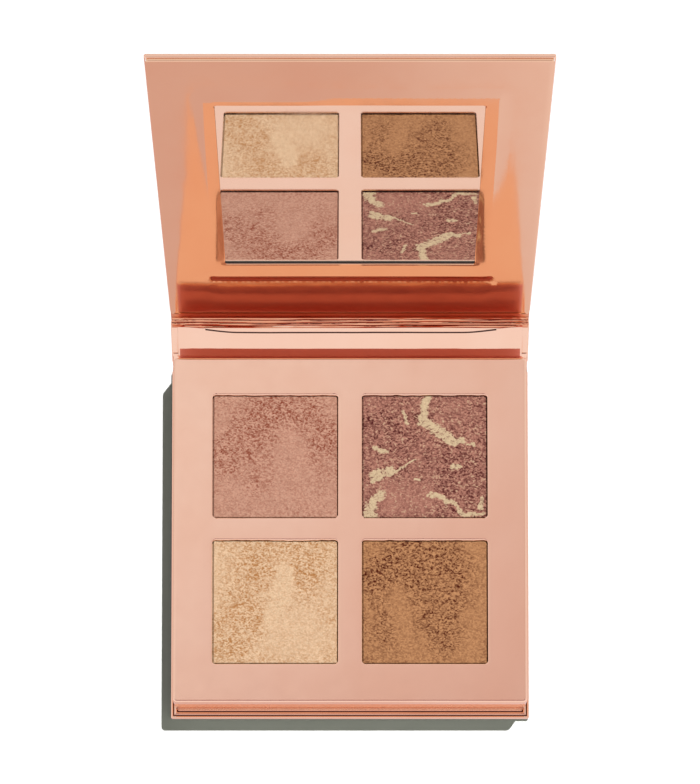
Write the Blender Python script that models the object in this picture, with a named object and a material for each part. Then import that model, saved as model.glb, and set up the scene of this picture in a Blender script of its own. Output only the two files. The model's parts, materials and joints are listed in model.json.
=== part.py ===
"""Eyeshadow palette: a foil-wrapped tray of four pressed powders on a book-style cover with a mirror in its lid.

Frame: metres, +Z up, +Y towards the folds, origin at the centre of the bottom cover's underside.
The cover is three boards in one foil skin. Two creases, along X, let the spine and the lid turn. Each crease's axis
lies in the middle of the outer skin, so that the covers fold flat and square without touching.
"""

import math

import bmesh
import bpy

MM = 0.001

# Layers
FOIL = 0.18 * MM  # foil paper skin
GLUE = 0.02 * MM  # bond line, left as a gap between the layers
LAYER = FOIL + GLUE
AXIS_DEPTH = 0.1 * MM  # the fold axes lie this far inside the outer face

# Tray
TRAY_WIDTH = 100.0 * MM
TRAY_DEPTH = 98.8 * MM
TRAY_HEIGHT = 12.0 * MM  # from the bottom cover's inner face to the top of the tray
TRAY_CORNER = 1.2 * MM
TRAY_EDGE_ROUND = 0.7 * MM
WALL = 1.6 * MM
WINDOW_BOARD = 0.98 * MM
TRAY_FLOOR = 0.8 * MM
ADHESIVE = 0.1 * MM
ADHESIVE_INSET = 4.0 * MM

# Windows, pans and powders
WINDOW = 35.5 * MM
WINDOW_CORNER = 1.0 * MM
GAP_X = 6.76 * MM  # bar between the left and right windows
GAP_Y = 6.15 * MM  # bar between the rear and front windows
REAR_MARGIN = 10.6 * MM  # from the tray's rear face to the rear windows
PAN = 37.6 * MM
PAN_CORNER = 1.8 * MM
PAN_HEIGHT = 3.4 * MM
PAN_WALL = 0.3 * MM
POWDER_CLEARANCE = 0.05 * MM
POWDER_BELOW_RIM = 0.15 * MM
BED_CARD = 0.6 * MM
GLUE_PAD = 0.2 * MM
GLUE_PAD_SIDE = 22.0 * MM

# Covers
COVER_WIDTH = 102.4 * MM
COVER_THICKNESS = 1.4 * MM  # bottom cover and spine
COVER_EDGE_ROUND = 0.35 * MM
COVER_CORNER = 0.9 * MM
FRONT_LIP = 2.2 * MM  # the bottom cover reaches this far in front of the tray
TURN_IN = 9.0 * MM  # foil folded over onto the inner face
SPINE_CLEARANCE = 0.4 * MM  # between the closed spine and the tray's rear face
LID_CLEARANCE = 0.45 * MM  # between the closed lid and the tray's top
EDGE_CLEARANCE = 0.3 * MM  # left beside a fold when it's at 90 degrees
LEAF_END = 0.25 * MM  # each foil leaf stops this short of its fold axis

# Spine
LINER_INSET = 1.9 * MM  # the spine's inner foil strip is this much shorter than the spine at each side
LINER_BELOW_LID_AXIS = 5.0 * MM

# Lid
LID_COVER = 1.2 * MM  # skin, board and turn-in
LID_THICKNESS = 2.2 * MM  # cover and inner panel
PANEL_INSET = 0.25 * MM  # the inner panel is this much smaller all round
MIRROR_WINDOW_WIDTH = 68.8 * MM
MIRROR_WINDOW_LOW = 24.3 * MM  # along the lid, from the upper fold axis
MIRROR_WINDOW_HIGH = 86.7 * MM
MIRROR_LAP_SIDE = 3.6 * MM  # how far the foil covers the mirror's edges
MIRROR_LAP_LOW = 5.4 * MM
MIRROR_LAP_HIGH = 2.9 * MM
MIRROR_THICKNESS = 0.84 * MM
POCKET_GAP = 0.2 * MM  # around the mirror and magnets in their cut-outs
PAST = 3.0 * MM  # how far a cutter runs past the solid it cuts

# Closure magnets
MAGNET_RADIUS = 3.0 * MM
MAGNETS = {"left": -32.0 * MM, "right": 32.0 * MM}
MAGNET_FROM_FRONT = 5.6 * MM
LID_DISC = 0.7 * MM

# Pose at rest: angles of the spine and the lid above the horizontal
SPINE_ANGLE = math.radians(36.8)
LID_ANGLE = math.radians(72.4)

# Derived places
SPINE_AXIS_Z = COVER_THICKNESS - AXIS_DEPTH  # from a fold axis to the inner face of the spine or bottom cover
LID_AXIS_Z = LID_THICKNESS - AXIS_DEPTH  # the same for the lid
COVER_END = SPINE_AXIS_Z + EDGE_CLEARANCE  # covers end this far from an axis, to clear the 90 degree spine
SPINE_END = LID_AXIS_Z + EDGE_CLEARANCE  # the spine's upper end, to clear the thicker lid
AXIS_BEHIND_TRAY = SPINE_CLEARANCE + SPINE_AXIS_Z
BASE_LENGTH = FRONT_LIP + TRAY_DEPTH + AXIS_BEHIND_TRAY - COVER_END
BASE_FRONT = -BASE_LENGTH / 2
BASE_REAR = BASE_LENGTH / 2
TRAY_FRONT = BASE_FRONT + FRONT_LIP
TRAY_REAR = TRAY_FRONT + TRAY_DEPTH
TRAY_TOP = COVER_THICKNESS + TRAY_HEIGHT
LOWER_AXIS_Y = TRAY_REAR + AXIS_BEHIND_TRAY
SPINE_LENGTH = TRAY_HEIGHT + LID_CLEARANCE + SPINE_AXIS_Z + LID_AXIS_Z  # from axis to axis
LID_LENGTH = LOWER_AXIS_Y - BASE_FRONT  # from the upper axis, so that the closed covers line up
TRAY_BASE = COVER_THICKNESS + 2 * GLUE + ADHESIVE
WINDOW_BOARD_LOW = TRAY_TOP - LAYER - WINDOW_BOARD
PAN_TOP = WINDOW_BOARD_LOW - GLUE
PAN_LOW = PAN_TOP - PAN_HEIGHT
PAD_LOW = PAN_LOW - GLUE - GLUE_PAD
BED_TOP = PAD_LOW - GLUE
BED_LOW = BED_TOP - BED_CARD
GLASS_HALF = MIRROR_WINDOW_WIDTH / 2 + MIRROR_LAP_SIDE
GLASS_LOW = MIRROR_WINDOW_LOW - MIRROR_LAP_LOW
GLASS_HIGH = MIRROR_WINDOW_HIGH + MIRROR_LAP_HIGH
PAN_X = (WINDOW + GAP_X) / 2
REAR_PAN_Y = TRAY_REAR - REAR_MARGIN - WINDOW / 2
FRONT_PAN_Y = REAR_PAN_Y - WINDOW - GAP_Y
PANS = {
    "rear_left": (-PAN_X, REAR_PAN_Y),
    "rear_right": (PAN_X, REAR_PAN_Y),
    "front_left": (-PAN_X, FRONT_PAN_Y),
    "front_right": (PAN_X, FRONT_PAN_Y),
}

COLOURS = {  # base colour, metallic, roughness
    "rose_foil": ((0.93, 0.60, 0.43), 1.0, 0.25),
    "greyboard": ((0.36, 0.34, 0.31), 0.0, 0.9),
    "card": ((0.80, 0.78, 0.74), 0.0, 0.8),
    "foam": ((0.10, 0.10, 0.10), 0.0, 0.95),
    "adhesive": ((0.85, 0.83, 0.76), 0.0, 0.5),
    "tin": ((0.70, 0.70, 0.70), 1.0, 0.3),
    "magnet": ((0.62, 0.62, 0.64), 1.0, 0.25),
    "mirror": ((0.92, 0.92, 0.92), 1.0, 0.02),
    "powder_rear_left": ((0.60, 0.30, 0.22), 0.0, 0.8),
    "powder_rear_right": ((0.42, 0.19, 0.15), 0.0, 0.8),
    "powder_front_left": ((0.77, 0.53, 0.32), 0.0, 0.8),
    "powder_front_right": ((0.42, 0.21, 0.09), 0.0, 0.8),
}


def clear_scene():
    for obj in list(bpy.data.objects):
        bpy.data.objects.remove(obj, do_unlink=True)


def material(node, kind):
    colour, metallic, roughness = COLOURS[kind]
    made = bpy.data.materials.new(node)
    made.use_nodes = True
    shader = made.node_tree.nodes["Principled BSDF"]
    shader.inputs["Base Color"].default_value = (*colour, 1.0)
    shader.inputs["Metallic"].default_value = metallic
    shader.inputs["Roughness"].default_value = roughness
    return made


def rounded_rectangle(x0, x1, y0, y1, radius, steps=4):
    """The outline, anticlockwise, with each corner an arc of that radius."""
    corners = [
        (x1 - radius, y0 + radius, -90),
        (x1 - radius, y1 - radius, 0),
        (x0 + radius, y1 - radius, 90),
        (x0 + radius, y0 + radius, 180),
    ]
    if radius == 0:
        return [(x, y) for x, y, _ in corners]
    points = []
    for cx, cy, start in corners:
        for i in range(steps + 1):
            angle = math.radians(start + 90 * i / steps)
            points.append((cx + radius * math.cos(angle), cy + radius * math.sin(angle)))
    return points


def prism(name, outline, z0, z1, top_round=0.0, bottom_round=0.0):
    """A closed solid from z0 to z1 over an outline, with its rims rounded if asked. It isn't placed in a body yet."""
    bm = bmesh.new()
    rim = [bm.verts.new((x, y, z0)) for x, y in outline]
    low = bm.faces.new(rim)
    side = bmesh.ops.extrude_face_region(bm, geom=[low])["geom"]
    high = next(part for part in side if isinstance(part, bmesh.types.BMFace))
    bmesh.ops.translate(bm, verts=high.verts[:], vec=(0, 0, z1 - z0))
    bmesh.ops.recalc_face_normals(bm, faces=bm.faces[:])
    for level, width in ((z0, bottom_round), (z1, top_round)):
        if width:
            edges = [e for e in bm.edges if all(abs(v.co.z - level) < 1e-7 for v in e.verts)]
            bmesh.ops.bevel(bm, geom=edges, offset=width, segments=3, profile=0.5, affect="EDGES")
    mesh = bpy.data.meshes.new(name)
    bm.to_mesh(mesh)
    bm.free()
    obj = bpy.data.objects.new(name, mesh)
    bpy.context.scene.collection.objects.link(obj)
    return obj


def slab(name, x_half, y0, y1, z0, z1, corner=0.0, **rounds):
    """A prism over a rectangle that is centred on X."""
    return prism(name, rounded_rectangle(-x_half, x_half, y0, y1, corner), z0, z1, **rounds)


def square(name, centre, side, z0, z1, corner):
    cx, cy = centre
    half = side / 2
    return prism(name, rounded_rectangle(cx - half, cx + half, cy - half, cy + half, corner), z0, z1)


def disc(name, x, y, radius, z0, z1):
    bm = bmesh.new()
    bmesh.ops.create_cone(bm, cap_ends=True, segments=32, radius1=radius, radius2=radius, depth=z1 - z0)
    bmesh.ops.translate(bm, verts=bm.verts[:], vec=(x, y, (z0 + z1) / 2))
    mesh = bpy.data.meshes.new(name)
    bm.to_mesh(mesh)
    bm.free()
    mesh.shade_smooth()
    mesh.set_sharp_from_angle(angle=math.radians(40))
    obj = bpy.data.objects.new(name, mesh)
    bpy.context.scene.collection.objects.link(obj)
    return obj


def combine(obj, operation, *tools):
    """Adds one Boolean modifier for each tool, and hides the tool."""
    for tool in tools:
        tool.hide_render = True
        tool.display_type = "WIRE"
        tool.parent = obj
        modifier = obj.modifiers.new(tool.name, "BOOLEAN")
        modifier.operation = operation
        modifier.solver = "EXACT"
        modifier.object = tool
    return obj


def place(obj, kind, body=None):
    """Gives a finished piece its material and hangs it on its body's empty. The base's pieces hang on none."""
    obj.data.materials.append(material(obj.name, kind))
    obj.parent = body
    return obj


def fold(name, parent, location, angle):
    """An empty on a fold axis: its +Y runs along the cover beyond the fold and its +Z towards the inner face."""
    empty = bpy.data.objects.new(name, None)
    bpy.context.scene.collection.objects.link(empty)
    empty.parent = parent
    empty.location = location
    empty.rotation_euler = (angle, 0, 0)
    return empty


def cover_skin(name, y0, y1, z_low, thickness, leaf_low=None, leaf_high=None):
    """The foil round one cover board from y0 to y1: outer face, edges and turn-ins.

    leaf_low or leaf_high says that the skin runs on into a fold at that end, and how far. There it has no edge wall
    and no turn-in, and only the outer face goes on.
    """
    half = COVER_WIDTH / 2
    inner_low = z_low + FOIL
    inner_high = z_low + thickness - FOIL
    open_high = z_low + thickness + PAST
    start, inside_start, open_start = y0, y0 + LAYER, y0 + TURN_IN
    end, inside_end, open_end = y1, y1 - LAYER, y1 - TURN_IN
    trims = []
    if leaf_low is not None:
        start = leaf_low - PAST
        inside_start = open_start = start - PAST
        trims.append(slab(f"{name}_above_low_leaf", half + PAST, start - PAST, y0, inner_low, open_high))
        trims.append(slab(f"{name}_past_low_leaf", half + PAST, start - PAST, leaf_low, z_low - PAST, open_high))
    if leaf_high is not None:
        end = leaf_high + PAST
        inside_end = open_end = end + PAST
        trims.append(slab(f"{name}_above_high_leaf", half + PAST, y1, end + PAST, inner_low, open_high))
        trims.append(slab(f"{name}_past_high_leaf", half + PAST, leaf_high, end + PAST, z_low - PAST, open_high))
    rounds = {"top_round": COVER_EDGE_ROUND, "bottom_round": COVER_EDGE_ROUND}
    skin = slab(name, half, start, end, z_low, z_low + thickness, COVER_CORNER, **rounds)
    board_space = slab(f"{name}_board_space", half - LAYER, inside_start, inside_end, inner_low, inner_high)
    opening = slab(f"{name}_opening", half - TURN_IN, open_start, open_end, inner_low, open_high)
    return combine(skin, "DIFFERENCE", board_space, opening, *trims)


def cover_board(name, y0, y1, z_low, thickness):
    """The stiff board inside a cover skin, one layer inside each face and side."""
    half = COVER_WIDTH / 2 - LAYER - GLUE
    return slab(name, half, y0, y1, z_low + LAYER, z_low + thickness - LAYER)


def build_bottom_cover():
    leaf = LOWER_AXIS_Y - LEAF_END
    place(cover_skin("bottom_wrap", BASE_FRONT, BASE_REAR, 0, COVER_THICKNESS, leaf_high=leaf), "rose_foil")
    board_front = BASE_FRONT + LAYER + GLUE
    place(cover_board("bottom_board", board_front, BASE_REAR, 0, COVER_THICKNESS), "greyboard")
    low = COVER_THICKNESS + GLUE
    front, rear = TRAY_FRONT + ADHESIVE_INSET, TRAY_REAR - ADHESIVE_INSET
    sheet = slab("tray_adhesive", TRAY_WIDTH / 2 - ADHESIVE_INSET, front, rear, low, low + ADHESIVE)
    place(sheet, "adhesive")


def tray_slab(name, inset, z0, z1, **rounds):
    """A slab with the tray's outline, brought in by inset, so that the tray's layers nest."""
    half = TRAY_WIDTH / 2 - inset
    return slab(name, half, TRAY_FRONT + inset, TRAY_REAR - inset, z0, z1, TRAY_CORNER - inset, **rounds)


def build_tray_wrap():
    """The foil skin over the tray's top and walls, with a skirt turned down into each window."""
    wrap = tray_slab("tray_wrap", 0, TRAY_BASE, TRAY_TOP, top_round=TRAY_EDGE_ROUND)
    hollow_round = TRAY_EDGE_ROUND - FOIL
    hollow = tray_slab("tray_wrap_space", FOIL, TRAY_BASE - PAST, TRAY_TOP - FOIL, top_round=hollow_round)
    combine(wrap, "DIFFERENCE", hollow)
    skirt_side = WINDOW + 2 * FOIL
    skirt_high = TRAY_TOP - FOIL / 2
    for name, centre in PANS.items():
        skirt = square(f"skirt_{name}", centre, skirt_side, WINDOW_BOARD_LOW, skirt_high, WINDOW_CORNER + FOIL)
        combine(wrap, "UNION", skirt)
    for name, centre in PANS.items():
        hole = square(f"window_{name}", centre, WINDOW, TRAY_BASE - PAST, TRAY_TOP + PAST, WINDOW_CORNER)
        combine(wrap, "DIFFERENCE", hole)
    place(wrap, "rose_foil")


def build_tray_boards():
    board_round = TRAY_EDGE_ROUND - LAYER
    board = tray_slab("window_board", LAYER, WINDOW_BOARD_LOW, TRAY_TOP - LAYER, top_round=board_round)
    hole_side = WINDOW + 2 * LAYER
    hole_corner = WINDOW_CORNER + LAYER
    for name, centre in PANS.items():
        hole = square(f"board_{name}", centre, hole_side, WINDOW_BOARD_LOW - PAST, TRAY_TOP + PAST, hole_corner)
        combine(board, "DIFFERENCE", hole)
    place(board, "greyboard")

    half = TRAY_WIDTH / 2 - LAYER - WALL
    front, rear = TRAY_FRONT + LAYER + WALL, TRAY_REAR - LAYER - WALL
    walls = tray_slab("tray_walls", LAYER, TRAY_BASE, WINDOW_BOARD_LOW - GLUE)
    combine(walls, "DIFFERENCE", slab("walls_space", half, front, rear, TRAY_BASE - PAST, TRAY_TOP))
    place(walls, "greyboard")

    fill = (half - GLUE, front + GLUE, rear - GLUE)
    floor_top = TRAY_BASE + TRAY_FLOOR
    place(slab("tray_floor", *fill, TRAY_BASE, floor_top), "card")
    place(slab("foam_block", *fill, floor_top + GLUE, BED_LOW - GLUE), "foam")
    place(slab("pan_bed", *fill, BED_LOW, BED_TOP), "card")


def build_tray_magnets():
    y = TRAY_FRONT + MAGNET_FROM_FRONT
    for side, x in MAGNETS.items():
        place(disc(f"tray_magnet_{side}", x, y, MAGNET_RADIUS, BED_TOP + GLUE, PAN_TOP), "magnet")


def build_pans():
    inside = PAN - 2 * PAN_WALL
    inside_corner = PAN_CORNER - PAN_WALL
    floor = PAN_LOW + PAN_WALL
    powder_side = inside - 2 * POWDER_CLEARANCE
    powder_corner = inside_corner - POWDER_CLEARANCE
    for name, centre in PANS.items():
        pan = square(f"pan_{name}", centre, PAN, PAN_LOW, PAN_TOP, PAN_CORNER)
        hollow = square(f"hollow_{name}", centre, inside, floor, PAN_TOP + PAST, inside_corner)
        place(combine(pan, "DIFFERENCE", hollow), "tin")
        powder_name = f"powder_{name}"
        powder_top = PAN_TOP - POWDER_BELOW_RIM
        powder = square(powder_name, centre, powder_side, floor + GLUE, powder_top, powder_corner)
        place(powder, powder_name)
        pad = square(f"glue_pad_{name}", centre, GLUE_PAD_SIDE, PAD_LOW, PAD_LOW + GLUE_PAD, WINDOW_CORNER)
        place(pad, "adhesive")


def build_spine(body):
    start, end = COVER_END, SPINE_LENGTH - SPINE_END
    skin_thickness = COVER_THICKNESS - LAYER  # the liner makes up the rest
    leaves = {"leaf_low": LEAF_END, "leaf_high": SPINE_LENGTH - LEAF_END}
    place(cover_skin("spine_wrap", start, end, -AXIS_DEPTH, skin_thickness, **leaves), "rose_foil", body)
    place(cover_board("spine_board", start, end, -AXIS_DEPTH, skin_thickness), "greyboard", body)
    liner_end = SPINE_LENGTH - LINER_BELOW_LID_AXIS
    liner_half = COVER_WIDTH / 2 - LINER_INSET
    place(slab("spine_liner", liner_half, start, liner_end, SPINE_AXIS_Z - FOIL, SPINE_AXIS_Z), "rose_foil", body)


def build_lid_cover(body):
    low = -AXIS_DEPTH
    place(cover_skin("lid_wrap", COVER_END, LID_LENGTH, low, LID_COVER, leaf_low=LEAF_END), "rose_foil", body)
    board_end = LID_LENGTH - LAYER - GLUE
    place(cover_board("lid_board", COVER_END, board_end, low, LID_COVER), "greyboard", body)


def build_lid_panel(body):
    """The foil-covered card on the lid's inner face, with a pocket for the mirror and one for each closure disc."""
    half = COVER_WIDTH / 2 - PANEL_INSET
    end = LID_LENGTH - PANEL_INSET
    low = LID_COVER - AXIS_DEPTH + GLUE
    window_half = MIRROR_WINDOW_WIDTH / 2
    wrap = slab("lid_panel_wrap", half, COVER_END, end, low, LID_AXIS_Z, COVER_CORNER, top_round=COVER_EDGE_ROUND)
    card_space = slab("panel_space", half - FOIL, COVER_END + FOIL, end - FOIL, low - PAST, LID_AXIS_Z - FOIL)
    window = slab("mirror_window", window_half, MIRROR_WINDOW_LOW, MIRROR_WINDOW_HIGH, low - PAST, LID_AXIS_Z + PAST)
    place(combine(wrap, "DIFFERENCE", card_space, window), "rose_foil", body)

    card = slab("lid_panel_card", half - LAYER, COVER_END + LAYER, end - LAYER, low, LID_AXIS_Z - LAYER)
    pocket_half = GLASS_HALF + POCKET_GAP
    pocket_ends = (GLASS_LOW - POCKET_GAP, GLASS_HIGH + POCKET_GAP)
    combine(card, "DIFFERENCE", slab("mirror_pocket", pocket_half, *pocket_ends, low - PAST, LID_AXIS_Z + PAST))
    disc_y = LOWER_AXIS_Y - TRAY_FRONT - MAGNET_FROM_FRONT
    disc_top = LID_AXIS_Z - LAYER - GLUE
    for side, x in MAGNETS.items():
        hole_radius = MAGNET_RADIUS + POCKET_GAP
        hole = disc(f"disc_pocket_{side}", x, disc_y, hole_radius, low - PAST, LID_AXIS_Z + PAST)
        combine(card, "DIFFERENCE", hole)
        plug = disc(f"lid_magnet_{side}", x, disc_y, MAGNET_RADIUS, disc_top - LID_DISC, disc_top)
        place(plug, "magnet", body)
    place(card, "card", body)


def build_mirror(body):
    sheet_low = LID_COVER - AXIS_DEPTH - LAYER + GLUE
    glass_z = sheet_low + ADHESIVE + GLUE
    sheet_ends = (GLASS_LOW + POCKET_GAP, GLASS_HIGH - POCKET_GAP)
    sheet_half = GLASS_HALF - POCKET_GAP
    place(slab("mirror_adhesive", sheet_half, *sheet_ends, sheet_low, sheet_low + ADHESIVE), "adhesive", body)
    place(slab("mirror", GLASS_HALF, GLASS_LOW, GLASS_HIGH, glass_z, glass_z + MIRROR_THICKNESS), "mirror", body)


def main():
    clear_scene()
    build_bottom_cover()
    build_tray_wrap()
    build_tray_boards()
    build_tray_magnets()
    build_pans()
    spine = fold("spine_fold", None, (0, LOWER_AXIS_Y, AXIS_DEPTH), SPINE_ANGLE)
    lid = fold("lid_fold", spine, (0, SPINE_LENGTH, 0), LID_ANGLE - SPINE_ANGLE)
    build_spine(spine)
    build_lid_cover(lid)
    build_lid_panel(lid)
    build_mirror(lid)


main()
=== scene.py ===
"""Looks of the eyeshadow palette: foil skins, creased folds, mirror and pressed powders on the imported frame.

Sizes are in mm in the frame of one body. The base's is the row frame. A cover's has its origin on the fold
axis, +Y along the cover and +Z towards its inner face.
"""

import json
import math

import bmesh
import bpy
import numpy as np
from mathutils import Matrix, Vector
from mathutils.geometry import delaunay_2d_cdt

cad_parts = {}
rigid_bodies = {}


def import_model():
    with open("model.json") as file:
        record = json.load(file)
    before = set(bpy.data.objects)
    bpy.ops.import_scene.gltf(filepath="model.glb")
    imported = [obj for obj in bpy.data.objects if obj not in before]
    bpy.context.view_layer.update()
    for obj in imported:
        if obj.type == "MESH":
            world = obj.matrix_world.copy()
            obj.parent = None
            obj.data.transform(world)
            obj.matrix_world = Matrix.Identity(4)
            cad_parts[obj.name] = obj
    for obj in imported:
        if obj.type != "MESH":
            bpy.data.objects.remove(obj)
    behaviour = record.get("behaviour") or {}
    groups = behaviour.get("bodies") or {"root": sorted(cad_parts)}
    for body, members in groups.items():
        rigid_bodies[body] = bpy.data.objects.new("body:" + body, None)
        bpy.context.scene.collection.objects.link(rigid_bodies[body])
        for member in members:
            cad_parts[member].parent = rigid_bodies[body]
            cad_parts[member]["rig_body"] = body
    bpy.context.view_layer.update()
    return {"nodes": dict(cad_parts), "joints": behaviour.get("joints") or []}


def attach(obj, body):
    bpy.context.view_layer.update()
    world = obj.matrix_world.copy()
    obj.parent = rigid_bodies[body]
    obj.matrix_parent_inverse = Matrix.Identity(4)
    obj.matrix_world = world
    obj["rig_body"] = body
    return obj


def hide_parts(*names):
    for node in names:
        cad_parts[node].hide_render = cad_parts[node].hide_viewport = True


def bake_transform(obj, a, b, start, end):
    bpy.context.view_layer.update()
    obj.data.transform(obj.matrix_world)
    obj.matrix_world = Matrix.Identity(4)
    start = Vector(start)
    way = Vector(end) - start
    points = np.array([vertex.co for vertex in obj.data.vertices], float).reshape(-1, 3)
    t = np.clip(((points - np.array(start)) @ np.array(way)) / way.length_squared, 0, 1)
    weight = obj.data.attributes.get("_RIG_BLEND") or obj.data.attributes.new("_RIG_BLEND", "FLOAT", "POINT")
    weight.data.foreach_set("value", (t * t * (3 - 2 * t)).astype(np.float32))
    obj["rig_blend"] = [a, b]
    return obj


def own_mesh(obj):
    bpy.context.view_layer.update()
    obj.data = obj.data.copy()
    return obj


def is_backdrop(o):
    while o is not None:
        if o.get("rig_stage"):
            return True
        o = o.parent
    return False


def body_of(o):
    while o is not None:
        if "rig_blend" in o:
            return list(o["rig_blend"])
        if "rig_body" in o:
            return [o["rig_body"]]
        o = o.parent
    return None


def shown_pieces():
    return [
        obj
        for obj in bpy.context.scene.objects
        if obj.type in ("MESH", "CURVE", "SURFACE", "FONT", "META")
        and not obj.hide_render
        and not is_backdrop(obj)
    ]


MM = 0.001
FOIL = 0.18  # thickness of the foil paper
FOLD_FOIL = 0.10
LINER_FOIL_PAPER = 0.14
SHARPEST = 0.1  # least radius of an outline's corner
EDGE_STEP, WINDOW_STEP = 1.5, 0.6  # between the points along a panel's edge and along a window's
STRIP_COLUMNS = 300
FOLD_SHARP = 80  # degrees between faces from which a fold's edge is sharp
SWELL = 0.012  # the foil's faint swells over its board
NOISE_CELLS = 256

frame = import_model()


# ------------------------ frame

JOINTS = {joint["name"]: joint for joint in frame["joints"]}
# Both folds lie flat at their lower limits, so the angles at rest are the travels from there.
SPINE_ANGLE = -math.radians(JOINTS["spine_fold"]["range_deg"][0])
LID_ANGLE = SPINE_ANGLE - math.radians(JOINTS["lid_fold"]["range_deg"][0])


def placement(joint, angle):
    return Matrix.Translation(JOINTS[joint]["pos_m"]) @ Matrix.Rotation(angle, 4, "X")


BASE = Matrix.Identity(4)
SPINE = placement("spine_fold", SPINE_ANGLE)
LID = placement("lid_fold", LID_ANGLE)
PLACES = {"base": BASE, "spine": SPINE, "lid": LID}


def extent(node, body="base"):
    """Lowest and highest corner of a CAD node in a body's frame, in mm."""
    inverse = PLACES[body].inverted()
    points = np.array([inverse @ v.co for v in frame["nodes"][node].data.vertices]) / MM
    return points.min(0), points.max(0)


def row_point(body, y, z):
    """A body's point, in mm, as (y, z) in the row frame, in mm."""
    point = PLACES[body] @ Vector((0, y * MM, z * MM)) / MM
    return point.y, point.z


SPINE_LENGTH = (Vector(JOINTS["lid_fold"]["pos_m"]) - Vector(JOINTS["spine_fold"]["pos_m"])).length / MM


# ------------------------ noise


def value_noise(x, y, seed):
    """Smooth noise from -1 to 1, with features about one unit across."""
    table = np.random.default_rng(seed).uniform(-1, 1, (NOISE_CELLS, NOISE_CELLS))
    xi, yi = np.floor(x).astype(int), np.floor(y).astype(int)
    fx, fy = x - xi, y - yi
    fx = fx * fx * fx * (fx * (6 * fx - 15) + 10)
    fy = fy * fy * fy * (fy * (6 * fy - 15) + 10)
    near, far = xi % NOISE_CELLS, (xi + 1) % NOISE_CELLS
    low, high = yi % NOISE_CELLS, (yi + 1) % NOISE_CELLS
    below = table[near, low] * (1 - fx) + table[far, low] * fx
    above = table[near, high] * (1 - fx) + table[far, high] * fx
    return below * (1 - fy) + above * fy


def fractal(x, y, seed, octaves=3):
    """Layers of turned noise, each half the size and half the strength of the one before."""
    total = np.zeros_like(np.asarray(x, float))
    strength = 1.0
    for octave in range(octaves):
        turn = 0.6 + 1.1 * octave
        u = x * math.cos(turn) - y * math.sin(turn)
        v = x * math.sin(turn) + y * math.cos(turn)
        total = total + strength * value_noise(u * 2**octave + 17.3, v * 2**octave + 5.9, seed + octave)
        strength *= 0.5
    return total


def smoothstep(low, high, value):
    t = np.clip((value - low) / (high - low), 0, 1)
    return t * t * (3 - 2 * t)


# ------------------------ meshes


def add_object(name, data):
    obj = bpy.data.objects.new(name, data)
    bpy.context.scene.collection.objects.link(obj)
    return obj


def add_mesh(name, body, points, faces, sharp=50, up=None):
    """A mesh object from points in mm in a body's frame, with smooth shading.

    Its faces look outwards, and those of an open sheet towards up.
    """
    mesh = bpy.data.meshes.new(name)
    mesh.from_pydata([tuple(p) for p in np.asarray(points) * MM], [], faces)
    mesh.transform(PLACES[body])
    bm = bmesh.new()
    bm.from_mesh(mesh)
    bmesh.ops.recalc_face_normals(bm, faces=bm.faces[:])
    if up is not None and sum(face.normal.dot(up) for face in bm.faces) < 0:
        bmesh.ops.reverse_faces(bm, faces=bm.faces[:])
    bm.to_mesh(mesh)
    bm.free()
    mesh.shade_smooth()
    mesh.set_sharp_from_angle(angle=math.radians(sharp))
    return add_object(name, mesh)


def thicken(obj, thickness, offset=-1.0):
    """Makes a sheet into foil paper. Offset -1 keeps the outer face where it is."""
    solidify = obj.modifiers.new("paper", "SOLIDIFY")
    solidify.thickness = thickness * MM
    solidify.offset = offset
    solidify.use_even_offset = True


def finish_piece(obj, body, material, slot, *nodes):
    obj.data.materials.append(material)
    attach(obj, body)
    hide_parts(*nodes)


def face_centres(obj, body="base"):
    """Centres of a mesh's faces in a body's frame, in mm."""
    inverse = PLACES[body].inverted()
    return np.array([inverse @ face.center for face in obj.data.polygons]) / MM


def recolour(obj, material, chosen):
    """Gives the chosen faces a second material. chosen has a truth value for each face."""
    obj.data.materials.append(material)
    for face, change in zip(obj.data.polygons, chosen):
        if change:
            face.material_index = len(obj.data.materials) - 1


def grid_points(x, y, z):
    return np.column_stack([x.ravel(), y.ravel(), z.ravel()])


def grid_faces(rows, columns):
    """Quads between the points of a grid that are listed row by row."""
    index = np.arange(rows * columns).reshape(rows, columns)
    corners = (index[:-1, :-1], index[:-1, 1:], index[1:, 1:], index[1:, :-1])
    return np.stack(corners, -1).reshape(-1, 4).tolist()


def quads(first, second):
    """Faces between two rings with matching points."""
    count = len(first)
    return [(first[i], first[(i + 1) % count], second[(i + 1) % count], second[i]) for i in range(count)]


def outline(box, radius, grow=0.0, step=EDGE_STEP, arc=6):
    """Rounded rectangle, anticlockwise, grown by a distance.

    Calls that differ only in grow have matching points.
    """
    x0, x1, y0, y1 = box
    across = max(1, round((x1 - x0 - 2 * radius) / step))
    along = max(1, round((y1 - y0 - 2 * radius) / step))
    shrink = max(0.0, SHARPEST - radius - grow)
    x0, x1, y0, y1 = x0 + shrink, x1 - shrink, y0 + shrink, y1 - shrink
    corners = [
        (x1 - radius, y0 + radius, -90, along),
        (x1 - radius, y1 - radius, 0, across),
        (x0 + radius, y1 - radius, 90, along),
        (x0 + radius, y0 + radius, 180, across),
    ]
    reach = radius + grow + shrink
    points = []
    for i, (cx, cy, start, pieces) in enumerate(corners):
        for k in range(arc + 1):
            angle = math.radians(start + 90 * k / arc)
            points.append((cx + reach * math.cos(angle), cy + reach * math.sin(angle)))
        end = points[-1]
        next_x, next_y, next_start, _ = corners[(i + 1) % 4]
        angle = math.radians(next_start)
        goal = (next_x + reach * math.cos(angle), next_y + reach * math.sin(angle))
        for k in range(1, pieces):
            share = k / pieces
            points.append((end[0] + (goal[0] - end[0]) * share, end[1] + (goal[1] - end[1]) * share))
    return np.array(points)


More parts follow.
